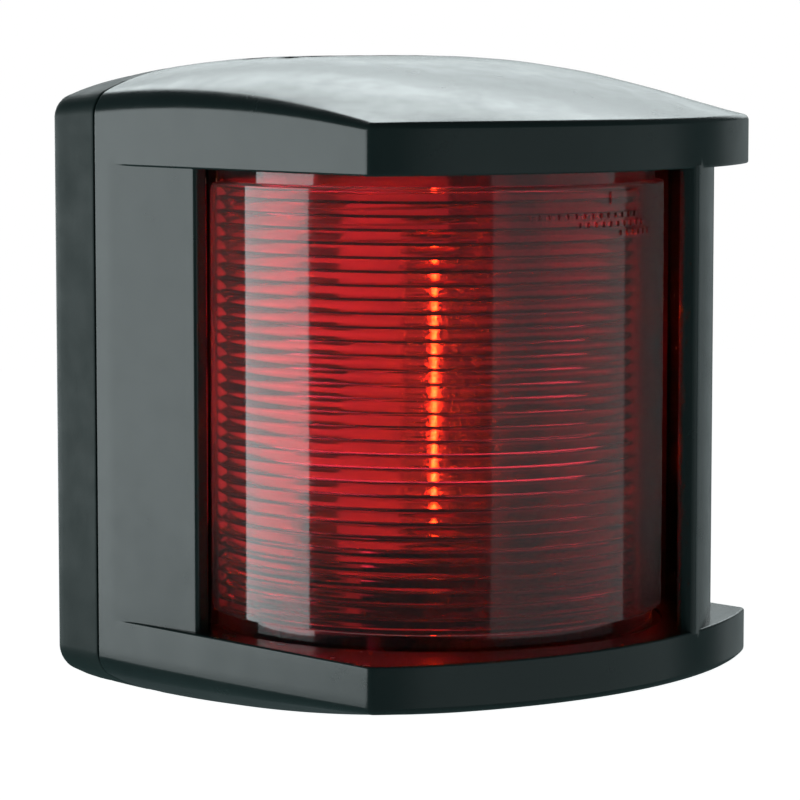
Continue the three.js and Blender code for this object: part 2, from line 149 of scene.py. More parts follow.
def loft(rings, cap_ends=True):
    """Verts and faces of a skin through closed rings that have the same number of points."""
    count = len(rings[0])
    verts = [p for ring in rings for p in ring]
    faces = []
    for r in range(len(rings) - 1):
        for i in range(count):
            j = (i + 1) % count
            faces.append((r * count + i, r * count + j, (r + 1) * count + j, (r + 1) * count + i))
    if cap_ends:
        faces.append(tuple(reversed(range(count))))
        last = (len(rings) - 1) * count
        faces.append(tuple(last + i for i in range(count)))
    return verts, faces


def prism(name, outline, z0, z1):
    rings = [[(x, y, z) for x, y in outline] for z in (z0, z1)]
    return mesh_object(name, *loft(rings))


def block(name, x0, x1, y0, y1, z0, z1):
    return prism(name, [(x0, y0), (x1, y0), (x1, y1), (x0, y1)], z0, z1)


def turned(name, profile, centre, axis="z", segments=64, angle=35.0):
    """Solid of revolution. The profile's points are (radius, distance along the axis), and it is closed."""
    rings = []
    for k in range(segments):
        a = 2 * math.pi * k / segments
        ring = []
        for r, h in profile:
            u, v = r * math.cos(a), r * math.sin(a)
            p = {"z": (u, v, h), "y": (u, h, -v), "-y": (u, -h, v), "-z": (u, -v, -h)}[axis]
            ring.append(tuple(c + d for c, d in zip(centre, p)))
        rings.append(ring)
    rings.append(rings[0])
    return mesh_object(name, *loft(rings, cap_ends=False), smooth_angle=angle)


def rod(name, radius, start, end, centre, axis="z", segments=48):
    profile = [(0, start), (radius, start), (radius, end), (0, end), (0, start)]
    return turned(name, profile, centre, axis, segments)


def apply_modifiers(obj):
    graph = bpy.context.evaluated_depsgraph_get()
    mesh = bpy.data.meshes.new_from_object(obj.evaluated_get(graph))
    obj.modifiers.clear()
    obj.data = mesh
    return obj


def combine(target, tools, operation):
    """Joins, cuts or intersects target with all the tools at once, and removes the tools."""
    group = bpy.data.collections.new("tools")
    for tool in tools:
        group.objects.link(tool)
    step = target.modifiers.new("step", "BOOLEAN")
    step.operation = operation
    step.solver = "MANIFOLD"
    step.operand_type = "COLLECTION"
    step.collection = group
    apply_modifiers(target)
    for tool in tools:
        bpy.data.objects.remove(tool)
    bpy.data.collections.remove(group)
    shade(target.data)
    return target


def break_edges(obj, y, width):
    """Narrow bevel along the outer edges of a face that lies in the plane y."""
    mesh = bmesh.new()
    mesh.from_mesh(obj.data)
    near = 0.003 * MM

    def in_plane(face):
        return all(abs(v.co.y - y * MM) < near for v in face.verts)

    edges = [e for e in mesh.edges if len(e.link_faces) == 2 and sum(in_plane(f) for f in e.link_faces) == 1]
    bmesh.ops.bevel(mesh, geom=edges, offset=width * MM, segments=2, affect="EDGES", profile=0.5)
    mesh.to_mesh(obj.data)
    mesh.free()
    shade(obj.data)
    return obj


def bevel(obj, width, segments=3, angle=35.0):
    step = obj.modifiers.new("bevel", "BEVEL")
    step.width = width * MM
    step.segments = segments
    step.limit_method = "ANGLE"
    step.angle_limit = math.radians(angle)
    step.harden_normals = True
    return obj


def even_normals(obj):
    step = obj.modifiers.new("normals", "WEIGHTED_NORMAL")
    step.keep_sharp = True
    step.weight = 80
    return obj


def tube(name, points, radius, sides=12, steps=8):
    """Round wire along a smooth curve through points."""
    path = []
    padded = [points[0]] + list(points) + [points[-1]]
    for i in range(1, len(padded) - 2):
        p0, p1, p2, p3 = (Vector(p) for p in padded[i - 1:i + 3])
        for k in range(steps):
            t = k / steps
            path.append(0.5 * (2 * p1 + (p2 - p0) * t + (2 * p0 - 5 * p1 + 4 * p2 - p3) * t * t
                               + (3 * p1 - p0 - 3 * p2 + p3) * t ** 3))
    path.append(Vector(points[-1]))
    return mesh_object(name, *sweep(path, radius, sides))


def sweep(path, radius, sides):
    rings = []
    side = None
    for i, p in enumerate(path):
        along = (path[min(i + 1, len(path) - 1)] - path[max(i - 1, 0)]).normalized()
        if side is None:
            side = along.orthogonal().normalized()
        side = (side - along * side.dot(along)).normalized()
        other = along.cross(side)
        rings.append([tuple(p + radius * (math.cos(a) * side + math.sin(a) * other))
                      for a in (2 * math.pi * k / sides for k in range(sides))])
    return loft(rings)


def piece(obj, material, body, nodes=()):
    """Finishes a visible piece: its material, its body, and the CAD nodes that it stands for."""
    obj.data.materials.clear()
    obj.data.materials.append(material)
    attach(obj, body)
    if nodes:
        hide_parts(*nodes)
    return obj


# ---------------------------------------------------------------- shapes shared by the cover and the base

def dome(shape, x, y):
    """Height of a dome, which is level along the caps' front edge."""
    crest, side_fall, crest_y, rim = shape
    front = ARC_CENTRE_Y - math.sqrt(FRONT_RADIUS ** 2 - x ** 2)
    ridge = crest - side_fall * (x / HALF) ** 4
    share = (front - y) / (front - crest_y)
    return rim + (ridge - rim) * (1 - (1 - share) ** 2)


def crown(x, y, inset=0.0):
    """Height of the top surface."""
    return dome(TOP_DOME, x, y) - inset


def keel(x, y, inset=0.0):
    """Height of the bottom surface."""
    return inset - dome(BOTTOM_DOME, x, y)


def spaced(start, end, count):
    return [tuple(a + (b - a) * k / count for a, b in zip(start, end)) for k in range(count)]


def soft_corner(before, corner, after, steps=6):
    """Curve from before to after that turns at corner."""
    points = []
    for k in range(steps + 1):
        t = k / steps
        points.append(tuple((1 - t) ** 2 * a + 2 * t * (1 - t) * b + t * t * c
                            for a, b, c in zip(before, corner, after)))
    return points


def inward(outline):
    """Unit normals that point into a closed outline that runs anticlockwise."""
    normals = []
    count = len(outline)
    for i in range(count):
        ax, ay = outline[i - 1]
        bx, by = outline[(i + 1) % count]
        length = math.hypot(bx - ax, by - ay)
        normals.append((-(by - ay) / length, (bx - ax) / length))
    return normals


def smoothed(values, rounds):
    """The values round a closed outline, each averaged with its neighbours a number of times."""
    for _ in range(rounds):
        values = [(values[i - 1] + v + values[(i + 1) % len(values)]) / 3 for i, v in enumerate(values)]
    return values


def crowned_body(name, outline, high, low, high_round, low_round, round_steps=6, side_steps=6):
    """Closed body over an outline. high and low are functions for its top and bottom heights, and the rounds
    hold the edge radius at each point of the outline."""
    normals = inward(outline)
    centre = (0.0, (min(p[1] for p in outline) + max(p[1] for p in outline)) / 2)

    def edge_ring(height, radii, turn, sign):
        ring = []
        for (x, y), (nx, ny), r in zip(outline, normals, radii):
            d = r * (1 - math.cos(turn))
            px, py = x + nx * d, y + ny * d
            ring.append((px, py, height(px, py) - sign * r * (1 - math.sin(turn))))
        return ring

    def shrunk(ring, share, height):
        cx, cy = centre
        points = [(cx + (x - cx) * share, cy + (y - cy) * share) for x, y, _ in ring]
        return [(x, y, height(x, y)) for x, y in points]

    turns = [math.pi / 2 * k / round_steps for k in range(round_steps + 1)]
    top = [edge_ring(high, high_round, t, 1) for t in turns]
    bottom = [edge_ring(low, low_round, t, -1) for t in turns]
    shares = [0.97, 0.9, 0.8, 0.68, 0.55, 0.42, 0.3, 0.18, 0.08]
    rings = [shrunk(bottom[-1], s, low) for s in reversed(shares)]
    rings += list(reversed(bottom))
    for k in range(1, side_steps):
        share = k / side_steps
        rings.append([(x, y, a + (b - a) * share) for (x, y, a), (_, _, b) in zip(bottom[0], top[0])])
    rings += top
    rings += [shrunk(top[-1], s, high) for s in shares]
    verts, faces = loft(rings, cap_ends=False)
    count = len(outline)
    for ring_start, height, flip in ((0, low, True), ((len(rings) - 1) * count, high, False)):
        verts.append((centre[0], centre[1], height(*centre)))
        hub = len(verts) - 1
        for i in range(count):
            j = (i + 1) % count
            pair = (ring_start + j, ring_start + i) if flip else (ring_start + i, ring_start + j)
            faces.append((*pair, hub))
    return mesh_object(name, verts, faces)


def cap_outline(extra=6.0, rear_corner=4.0):
    """Both caps seen from above, anticlockwise from the rear left corner. They run on behind the joint by
    extra, and are cut off there later."""
    half_angle = math.asin(HALF / FRONT_RADIUS)
    rear = JOINT + extra
    turn = 0.9
    arc_turn = turn / FRONT_RADIUS

    def on_arc(a):
        return FRONT_RADIUS * math.sin(a), ARC_CENTRE_Y - FRONT_RADIUS * math.cos(a)

    points = soft_corner((-HALF + rear_corner, rear), (-HALF, rear), (-HALF, rear - rear_corner))
    points += spaced((-HALF, rear - rear_corner), (-HALF, CORNER_Y + turn), 26)[1:]
    points += soft_corner((-HALF, CORNER_Y + turn), (-HALF, CORNER_Y), on_arc(-half_angle + arc_turn))
    arc_steps = 72
    for k in range(1, arc_steps):
        share = k / arc_steps
        points.append(on_arc((-half_angle + arc_turn) * (1 - share) + (half_angle - arc_turn) * share))
    points += soft_corner(on_arc(half_angle - arc_turn), (HALF, CORNER_Y), (HALF, CORNER_Y + turn))
    points += spaced((HALF, CORNER_Y + turn), (HALF, rear - rear_corner), 26)[1:]
    points += soft_corner((HALF, rear - rear_corner), (HALF, rear), (HALF - rear_corner, rear))
    points += spaced((HALF - rear_corner, rear), (-HALF + rear_corner, rear), 30)[1:]
    return points


def sector_outline(r0, r1, start, end, rounding=0.0, step=1.5):
    """Ring sector around the bulb's axis, anticlockwise; the start corners can be rounded."""
    def at(radius, angle):
        a = math.radians(angle)
        return radius * math.sin(a), LAMP_Y - radius * math.cos(a)

    count = max(4, round((end - start) / step))
    lead = math.degrees(rounding / r1)
    outer = [at(r1, start + lead + (end - start - lead) * k / count) for k in range(count + 1)]
    inner = [at(r0, end + (start + lead - end) * k / count) for k in range(count + 1)]
    nose = []
    if rounding:
        nose += soft_corner(at(r0, start + lead), at(r0, start), at((r0 + r1) / 2, start), 5)[1:]
        nose += soft_corner(at((r0 + r1) / 2, start), at(r1, start), at(r1, start + lead), 5)[1:-1]
    return outer + inner + nose


# ---------------------------------------------------------------- cover

def edge_radii(outline, side_rear, side_front, front):
    """Edge radius at each outline point: it changes evenly along the sides, and is even along the front."""
    radii = []
    for x, y in outline:
        share = min(1.0, max(0.0, (JOINT - y) / (JOINT - CORNER_Y)))
        on_side = y > CORNER_Y + 0.5
        radii.append(side_rear + (side_front - side_rear) * share if on_side else front)
    return smoothed(radii, 4)


def label_bars():
    """Two rows of blank bars, to be sunk into the top surface where a label would be."""
    bars = []
    widths = [5.0, 3.2, 6.4, 4.0, 5.6, 3.4, 4.8]
    gap = 1.3
    for row, (y, depth) in enumerate(((JOINT - 13.0, 2.2), (JOINT - 18.5, 3.2))):
        x = -20.0 + row * 2.0
        for k, width in enumerate(widths[row:]):
            rows = []
            for level in (-0.3, 1.0):
                rows.append([(px, py, crown(px, py) + level) for px, py in
                             ((x, y - depth / 2), (x + width, y - depth / 2), (x + width, y + depth / 2),
                              (x, y + depth / 2))])
            bars.append(mesh_object(f"bar_{row}_{k}", *loft(rows)))
            x += width + gap
    return bars


def build_shroud():
    outline = cap_outline()
    top_round = edge_radii(outline, 2.4, 1.1, 0.75)
    low_round = edge_radii(outline, 1.8, 1.1, 0.9)
    lip_round = edge_radii(outline, 0.35, 0.35, 0.35)
    shell = crowned_body("shroud_shell", outline, crown, lambda x, y: WINDOW_HALF,
                         top_round, lip_round, side_steps=4)
    combine(shell, shroud_walls(crowned_body("bottom_cap", outline, lambda x, y: -WINDOW_HALF, keel,
                                             lip_round, low_round, side_steps=4)), "UNION")
    combine(shell, shroud_hollows() + label_bars(), "DIFFERENCE")
    return break_edges(shell, JOINT, 0.2)


def shroud_walls(bottom_cap):
    """What joins the two caps: left panel, right-hand screen and side, and the jambs beside the lens."""
    tall = WINDOW_HALF + 0.45
    screen_radii = (SCREEN_RADIUS - SCREEN_THICKNESS, SCREEN_RADIUS)
    screen_end = math.degrees(math.asin(HALF / SCREEN_RADIUS)) - 0.05
    side_front = LAMP_Y - math.sqrt(SCREEN_RADIUS ** 2 - HALF ** 2) + 0.6
    jamb_outer = HALF - 1.4
    return [
        bottom_cap,
        prism("panel", panel_outline(), -tall, tall),
        prism("screen", sector_outline(*screen_radii, SCREEN_START, screen_end, 1.0), -tall, tall),
        block("side", HALF - WALL, HALF - 0.001, side_front, JOINT, -tall, tall),
        block("jamb_left", -jamb_outer, -JAMB_INNER, JAMB_FRONT, JAMB_REAR, -tall, tall),
        block("jamb_right", JAMB_INNER, jamb_outer, JAMB_FRONT, JAMB_REAR, -tall, tall),
    ]


def panel_outline():
    """Left panel in plan, which slants in a little from the joint and ends in a rounded edge."""
    outer, inner, edge = -HALF + PANEL_RECESS, -HALF + WALL, 0.6
    points = [(-HALF, JOINT), (-HALF, JOINT - 4.0)]
    points += soft_corner((outer - 0.03, PANEL_END + edge), (outer, PANEL_END), (outer + edge, PANEL_END), 5)
    points += soft_corner((inner - edge, PANEL_END), (inner, PANEL_END), (inner, PANEL_END + edge), 5)
    return points + [(inner, JOINT)]


def shroud_hollows():
    """Cutting tools for the cover's inside. Their ends differ by a hair, so that no two faces coincide."""
    hair = 0.01
    around_lamp = (0, LAMP_Y, 0)
    reach = HALF - WALL
    return [
        block("behind", -reach, reach, JAMB_REAR, JOINT + 1, HOLLOW_FLOOR, HOLLOW_TOP),
        block("between", -JAMB_INNER, JAMB_INNER, JAMB_FRONT - 4, JOINT + 1.1,
              HOLLOW_FLOOR + hair, HOLLOW_TOP - hair),
        rod("seat", SEAT_RADIUS, -SEAT_HALF, SEAT_HALF, around_lamp, segments=180),
        rod("deep", HOLLOW_RADIUS, HOLLOW_FLOOR + 2 * hair, HOLLOW_TOP - 2 * hair, around_lamp, segments=120),
        block("recess", -6, 6, JOINT - 9, JOINT + 1, -REACH, LIP_BOTTOM),
        block("slot", -LOCK_SLOT, LOCK_SLOT, LOCK_Y - LOCK_SLOT, JOINT + 1, -45, -30),
        block("rear_cut", -REACH, REACH, JOINT, JOINT + 20, -REACH, REACH),
    ]


# ---------------------------------------------------------------- lens

def lens_profile_heights():
    """Heights of the lens's sample rows: close together at the ribs and at the edges of the raised face."""
    heights = {-LENS_HALF, LENS_HALF}
    per_rib = 10
    step = RIB_PITCH / per_rib
    count = int(LENS_FACE_HALF / step) + 1
    for k in range(-count, count + 1):
        heights.add(round(k * step, 4))
    for edge in (LENS_FACE_HALF, -LENS_FACE_HALF):
        for k in range(-5, 6):
            heights.add(round(edge + k * 0.09, 4))
    return sorted(h for h in heights if abs(h) <= LENS_HALF)


def lens_angles():
    angles = {-LENS_END, LENS_END}
    step = 2
    for k in range(-int(LENS_END / step), int(LENS_END / step) + 1):
        angles.add(k * step)
    for edge in (-LENS_FACE_END, LENS_FACE_END):
        for k in range(-5, 6):
            angles.add(round(edge + k * 0.17, 3))
    return sorted(angles)


def rib_depth(z):
    """How far a rib stands in from the lens's inner wall. It is rounded, and thickest towards mid-height."""
    if abs(z) > LENS_FACE_HALF - 0.6:
        return 0.0
    row = math.floor(abs(z) / RIB_PITCH)
    share = abs(z) / RIB_PITCH - row
    apex = max(0.22, 0.46 - 0.022 * row)
    run = apex if share < apex else 1 - apex
    return RIB_DEPTH * (1 - ((share - apex) / run) ** 2)


def face_rise(angle, z):
    """Share of the raised face's height: one inside its round-cornered outline, nought outside."""
    corner = 1.6
    soft = 0.35
    u = math.radians(abs(angle)) * LENS_RADIUS - (math.radians(LENS_FACE_END) * LENS_RADIUS - corner)
    v = abs(z) - (LENS_FACE_HALF - corner)
    beyond = math.hypot(max(u, 0), max(v, 0)) + min(max(u, v), 0) - corner
    t = min(1.0, max(0.0, 0.5 - beyond / soft))
    return t * t * (3 - 2 * t)


def build_lens():
    heights = lens_profile_heights()
    angles = lens_angles()
    rise = LENS_FACE_RADIUS - LENS_RADIUS
    rings = []
    for angle in angles:
        a = math.radians(angle)
        s, c = math.sin(a), math.cos(a)
        ring = []
        for z in heights:
            r = LENS_RADIUS + rise * face_rise(angle, z)
            ring.append((r * s, LAMP_Y - r * c, z))
        fade = min(1.0, max(0.0, min(angle - RIB_SWEEP[0], RIB_SWEEP[1] - angle) / 4))
        for z in reversed(heights):
            r = LENS_INNER - rib_depth(z) * fade
            ring.append((r * s, LAMP_Y - r * c, z))
        rings.append(ring)
    lens = mesh_object("red_lens", *loft(rings), smooth_angle=30)
    end = LENS_INNER + 0.8
    foot_x = end * math.sin(math.radians(LENS_END))
    foot_y = LAMP_Y - end * math.cos(math.radians(LENS_END))
    feet = []
    for name, s in (("left", -1), ("right", 1)):
        web = sorted((s * (foot_x - 0.8), s * (foot_x + 0.8)))
        ear = sorted((s * (foot_x - 0.8), s * 33.6))
        feet.append(block(f"web_{name}", *web, foot_y - 0.6, EAR_REAR, -30, 30))
        feet.append(block(f"ear_{name}", *ear, EAR_FRONT, EAR_REAR - 0.001, -29.9, 29.9))
    combine(lens, feet, "UNION")
    combine(lens, lens_marks(), "UNION")
    shade(lens.data, 30)
    return lens


def lens_marks():
    """A blank raised tab and short rows of plain dashes near the lens's upper right corner."""
    marks = []
    plate = 0.28

    def patch(name, a0, a1, z0, z1):
        rows = []
        count = 6
        for z in (z0, z1):
            outer = [(LENS_FACE_RADIUS + plate, a0 + (a1 - a0) * k / count) for k in range(count + 1)]
            inner = [(LENS_FACE_RADIUS - 0.4, a) for _, a in reversed(outer)]
            rows.append([(r * math.sin(math.radians(a)), LAMP_Y - r * math.cos(math.radians(a)), z)
                         for r, a in outer + inner])
        return mesh_object(name, *loft(rows))

    marks.append(patch("tab", 4.0, 16.0, 28.2, 29.8))
    for row in range(3):
        z = 26.6 - 1.25 * row
        start = -20.0 + row * 14
        count = 14 - 4 * row
        for k in range(count):
            a = start + k * 2.6
            marks.append(patch(f"dash_{row}_{k}", a, a + 1.5, z - 0.38, z + 0.38))
    return marks


# ---------------------------------------------------------------- base

def base_outline(inset, back, front, corner_back, corner_front, steps=30):
    """Outline of the base tray in plan, anticlockwise, with rounded rear and front corners."""
    half = HALF - inset
    points = soft_corner((-half + corner_back, back), (-half, back), (-half, back - corner_back), 5)
    points += spaced((-half, back - corner_back), (-half, front + corner_front), 8)[1:]
    points += soft_corner((-half, front + corner_front), (-half, front), (-half + corner_front, front), 4)
    points += spaced((-half + corner_front, front), (half - corner_front, front), steps)[1:]
    points += soft_corner((half - corner_front, front), (half, front), (half, front + corner_front), 4)
    points += spaced((half, front + corner_front), (half, back - corner_back), 8)[1:]
    points += soft_corner((half, back - corner_back), (half, back), (half - corner_back, back), 5)
    points += spaced((half - corner_back, back), (-half + corner_back, back), steps)[1:]
    return points


def tray_body(name, inset, back, front, corner_back, corner_front, side_edge, back_edge):
    """Body with the base's outline, moved in by inset, between the same domes as the cover."""
    outline = base_outline(inset, back, front, corner_back, corner_front)
    radii = smoothed([back_edge if y > back - 0.3 else side_edge for x, y in outline], 2)
    return crowned_body(name, outline, lambda x, y: crown(x, y, inset), lambda x, y: keel(x, y, inset),
                        radii, radii, side_steps=10)


def build_base():
    tray = tray_body("base_tray", 0.0, 0.0, BASE_FRONT - 6, 2.8, 4.0, 2.3, 1.5)
    front_cut = block("front_cut", -REACH, REACH, BASE_FRONT - 30, BASE_FRONT, -REACH, REACH)
    inside = tray_body("inside", TRAY_RIM, -TRAY_FLOOR, BASE_FRONT - 12, 1.6, 3.0, 1.2, 0.6)
    combine(tray, [front_cut, inside], "DIFFERENCE")
    parts = [
        block("top_tongue", -12, 12, JOINT - 4.6, BASE_FRONT + 4, 36.6, 39.2),
        block("top_web", -12.1, 12.1, BASE_FRONT + 0.02, BASE_FRONT + 3.6, 36.65, 44.9),
        block("bottom_tongue", -9, 9, JOINT - 7, BASE_FRONT + 4, -38.6, -33.4),
        block("bottom_web", -9.1, 9.1, BASE_FRONT + 0.02, BASE_FRONT + 3.6, -44.2, -33.45),
    ]
    for x in (-POST_X, POST_X):
        parts.append(rod("boss", POST_RADIUS, 1, 4.4, (x, 0, POST_Z), "-y"))
        parts.append(block("stiffener", x - 0.8, x + 0.8, -4.0, -1, -34, 36))
    combine(tray, parts, "UNION")
    outer = tray_body("groove", 0.8, BASE_FRONT + 1.5, BASE_FRONT - 6, 1.5, 1.5, 1.0, 0.3)
    inner = tray_body("groove_core", 2.8, BASE_FRONT + 4.5, BASE_FRONT - 9, 1.5, 1.5, 0.8, 0.3)
    combine(outer, [inner], "DIFFERENCE")
    cuts = [outer, rod("cable", 5.3, -1, 12, (0, 0, CABLE_Z), "-y", 64)]
    countersink = [(0, -1), (2.25, -1), (2.25, 1.2), (4.0, 2.4), (4.0, 12), (0, 12), (0, -1)]
    for x, z in MOUNTING_HOLES:
        cuts.append(turned("mounting", countersink, (x, 0, z), "-y", 48))
    cuts.append(rod("insert_pocket", 2.9, -39, -34.6, (0, LOCK_Y, 0)))
    cuts.append(rod("screw_pocket", 1.9, -40, -30, (0, LOCK_Y, 0)))
    combine(tray, cuts, "DIFFERENCE")
    return break_edges(tray, BASE_FRONT, 0.2)


def build_grommet():
    """Rubber seal with a collar inside the tray, and a round bore for the cable."""
    profile = [(3.6, 0.6), (3.8, 0.4), (5.0, 0.4), (5.0, 2.6), (6.3, 2.75), (6.6, 3.05), (6.6, 4.1),
               (6.3, 4.4), (5.2, 4.7), (4.6, 5.3), (4.4, 5.6), (3.8, 5.6), (3.6, 5.4), (3.6, 0.6)]
    return turned("cable_seal", profile, (0, 0, CABLE_Z), "-y", 72)


# ---------------------------------------------------------------- bulb and its carrier

def build_carrier():
    """Pale plate that holds the bulb's contacts, with a shallow sunk panel and two posts behind it."""
    low, high = frame_box("bulb_carrier")
    half, bottom, top = high[0], low[2], high[2]
    corner = 4.0

    def rim(inset, y):
        r = corner - inset
        points = []
        places = ((half, bottom, -90), (half, top, 0), (-half, top, 90), (-half, bottom, 180))
        for x, z, start in places:
            cx = x - math.copysign(corner, x)
            cz = z + (corner if z == bottom else -corner)
            for k in range(9):
                a = math.radians(start + 90 * k / 8)
                points.append((cx + r * math.cos(a), y, cz + r * math.sin(a)))
        return points

    front, back = CARRIER_FRONT, CARRIER_BACK
    rings = [rim(0.3, back), rim(0.0, back - 0.3), rim(0.0, front + 0.4), rim(0.12, front + 0.12),
             rim(0.4, front), rim(1.5, front), rim(1.7, front + 0.12), rim(2.0, front + 0.5)]
    plate = mesh_object("carrier_plate", *loft(rings))
    screws = [(x, 0, POST_Z) for x in (-POST_X, POST_X)]
    rivets = [(0, 0, z) for z in (-RIVET_Z, RIVET_Z)]
    combine(plate, [rod("post", POST_RADIUS, 0.5 - back, 4.7, place, "-y") for place in screws], "UNION")
    bores = [rod("bore", 1.7, 4, 2 - front, place, "-y") for place in screws]
    bores += [rod("rivet_hole", 1.5, 4, 2 - front, place, "-y") for place in rivets]
    return combine(plate, bores, "DIFFERENCE")


def build_glass():
    """Hollow glass tube, drawn in slightly where the end caps hold it."""
    end, wall = 13.3, 0.55
    half = [(5.0, end - 1.6), (4.75, end - 0.5), (4.55, end)]
    outer = [(r, -z) for r, z in reversed(half)] + half
    inner = [(r - wall, z) for r, z in reversed(outer)]
    return turned("bulb_envelope", outer + inner + outer[:1], (0, LAMP_Y, 0), "z", 72)


def build_cap(name, axis):
    """Metal end cap with a rounded shoulder and a contact nib."""
    profile = [(0, 13.7), (4.9, 13.7), (5.2, 13.9), (5.2, 16.4), (5.05, 16.9), (4.4, 17.6), (3.4, 18.3),
               (2.0, 18.75), (1.6, 18.95), (1.45, 19.3), (1.45, 20.1), (1.25, 20.4), (0.8, 20.5), (0, 20.5),
               (0, 13.7)]
    return turned(name, profile, (0, LAMP_Y, 0), axis, 64)


def build_filament():
    """Tungsten coil with straight ends, along the bulb's axis."""
    coil_radius, wire, half_coil, end = 0.34, 0.11, 11.0, 13.2
    turns, per_turn = 46, 10
    path = [Vector((0, LAMP_Y, -end)), Vector((0, LAMP_Y, -half_coil - 0.6))]
    for k in range(turns * per_turn + 1):
        a = 2 * math.pi * k / per_turn
        z = -half_coil + 2 * half_coil * k / (turns * per_turn)
        path.append(Vector((coil_radius * math.cos(a), LAMP_Y + coil_radius * math.sin(a), z)))
    path += [Vector((0, LAMP_Y, half_coil + 0.6)), Vector((0, LAMP_Y, end))]
    return mesh_object("glowing_coil", *sweep(path, wire, 6))


# ---------------------------------------------------------------- fasteners and leads

def build_screw(name, seat, axis, shank_radius, shank, head_radius, head):
    """Pan-head screw with a cross recess. seat is the point under its head, and axis points from the shank
    to the head."""
    r, h = head_radius, head
    profile = [(0, -shank), (shank_radius * 0.6, -shank), (shank_radius, -shank + 0.5), (shank_radius, 0),
               (r - 0.1, 0), (r, 0.12), (r, h * 0.35), (r * 0.94, h * 0.6), (r * 0.8, h * 0.82),
               (r * 0.55, h * 0.96), (0, h), (0, -shank)]
    screw = turned(name, profile, seat, axis, 48)
    width, reach, depth = r * 0.15, r * 0.58, h * 0.62
    sx, sy, sz = seat
    toward = {"z": 1, "-z": -1, "y": 1, "-y": -1}[axis]
    span = sorted((toward * (h - depth), toward * (h + 1)))
    tools = []
    for k, (a, b) in enumerate(((width, reach), (reach, width))):
        if axis in ("z", "-z"):
            tools.append(block(f"cross_{k}", sx - a, sx + a, sy - b, sy + b, sz + span[0], sz + span[1]))
        else:
            tools.append(block(f"cross_{k}", sx - a, sx + a, sy + span[0], sy + span[1], sz - b, sz + b))
    combine(tools[0], tools[1:], "UNION")
    return combine(screw, tools[:1], "DIFFERENCE")


def lead_points(node):
    """Route of a lead from its terminal to its contact's rivet."""
    start_z = -25.3
    if node == "lead_top":
        return [(TERMINAL_X, -6.6, start_z), (TERMINAL_X, -6.8, start_z + 4.7), (9, -7, -10), (10, -7.4, 2),
                (4.5, -8.6, 10), (0, -8.6, RIVET_Z)]
    return [(-TERMINAL_X, -6.6, start_z), (-TERMINAL_X, -6.8, start_z + 4.7), (-9.4, -7.6, -16.5),
            (-5, -8.6, -12.5), (0, -8.6, -RIVET_Z)]


# ---------------------------------------------------------------- materials

def new_material(name):
    material = bpy.data.materials.new(name)
    material.use_nodes = True
    nodes = material.node_tree.nodes
    shader = next(n for n in nodes if n.type == "BSDF_PRINCIPLED")
    return material, material.node_tree, shader


def noise(tree, scale, detail=3.0, roughness=0.5, stretch=None):
    """Noise texture in object space, with scale in cells per metre."""
    place = tree.nodes.new("ShaderNodeTexCoord")
    texture = tree.nodes.new("ShaderNodeTexNoise")
    texture.inputs["Scale"].default_value = scale
    texture.inputs["Detail"].default_value = detail
    texture.inputs["Roughness"].default_value = roughness
    source = place.outputs["Object"]
    if stretch:
        mapping = tree.nodes.new("ShaderNodeMapping")
        mapping.inputs["Scale"].default_value = stretch
        tree.links.new(source, mapping.inputs["Vector"])
        source = mapping.outputs["Vector"]
    tree.links.new(source, texture.inputs["Vector"])
    return texture


def ramp(tree, source, low, high, start=0.3, end=0.7):
    """Colour or grey ramp between two values, driven by source."""
    node = tree.nodes.new("ShaderNodeValToRGB")
    for element, position, value in zip(node.color_ramp.elements, (start, end), (low, high)):
        element.position = position
        element.color = (value, value, value, 1) if isinstance(value, (int, float)) else (*value, 1)
    tree.links.new(source, node.inputs["Fac"])
    return node.outputs["Color"]


def add_bump(tree, shader, source, strength, distance):
    bump = tree.nodes.new("ShaderNodeBump")
    bump.inputs["Strength"].default_value = strength
    bump.inputs["Distance"].default_value = distance * MM
    tree.links.new(source, bump.inputs["Height"])
    tree.links.new(bump.outputs["Normal"], shader.inputs["Normal"])


def moulded(name, dark, light, rough_low, rough_high, grain=0.012, grain_scale=3200):
    """Moulded plastic: fine grain, slow colour drift and uneven gloss."""
    material, tree, shader = new_material(name)
    drift = noise(tree, 60, 4, 0.6)
    tree.links.new(ramp(tree, drift.outputs["Fac"], dark, light), shader.inputs["Base Color"])
    gloss = noise(tree, 170, 5, 0.65)
    tree.links.new(ramp(tree, gloss.outputs["Fac"], rough_low, rough_high), shader.inputs["Roughness"])
    add_bump(tree, shader, noise(tree, grain_scale, 2, 0.5).outputs["Fac"], 0.5, grain)
    return material


def metal(name, dark, light, rough_low, rough_high, stretch=(1, 1, 8)):
    material, tree, shader = new_material(name)
    shader.inputs["Metallic"].default_value = 1.0
    stain = noise(tree, 240, 5, 0.6)
    tree.links.new(ramp(tree, stain.outputs["Fac"], dark, light), shader.inputs["Base Color"])
    brush = noise(tree, 1500, 4, 0.7, stretch)
    tree.links.new(ramp(tree, brush.outputs["Fac"], rough_low, rough_high), shader.inputs["Roughness"])
    add_bump(tree, shader, brush.outputs["Fac"], 0.3, 0.01)
    return material


def lens_material():
    """Clear red plastic with a little haze in it, under a thin gloss."""
    material, tree, shader = new_material("red_lens_plastic")
    shader.inputs["Base Color"].default_value = (0.78, 0.022, 0.050, 1)
    shader.inputs["Transmission Weight"].default_value = 1.0
    shader.inputs["IOR"].default_value = 1.49
    haze = noise(tree, 1800, 3, 0.5)
    tree.links.new(ramp(tree, haze.outputs["Fac"], 0.0, 0.17), shader.inputs["Roughness"])
    shader.inputs["Coat Weight"].default_value = 0.45
    shader.inputs["Coat Roughness"].default_value = 0.03
    shader.inputs["Sheen Weight"].default_value = 0.35
    shader.inputs["Sheen Roughness"].default_value = 0.45
    return material


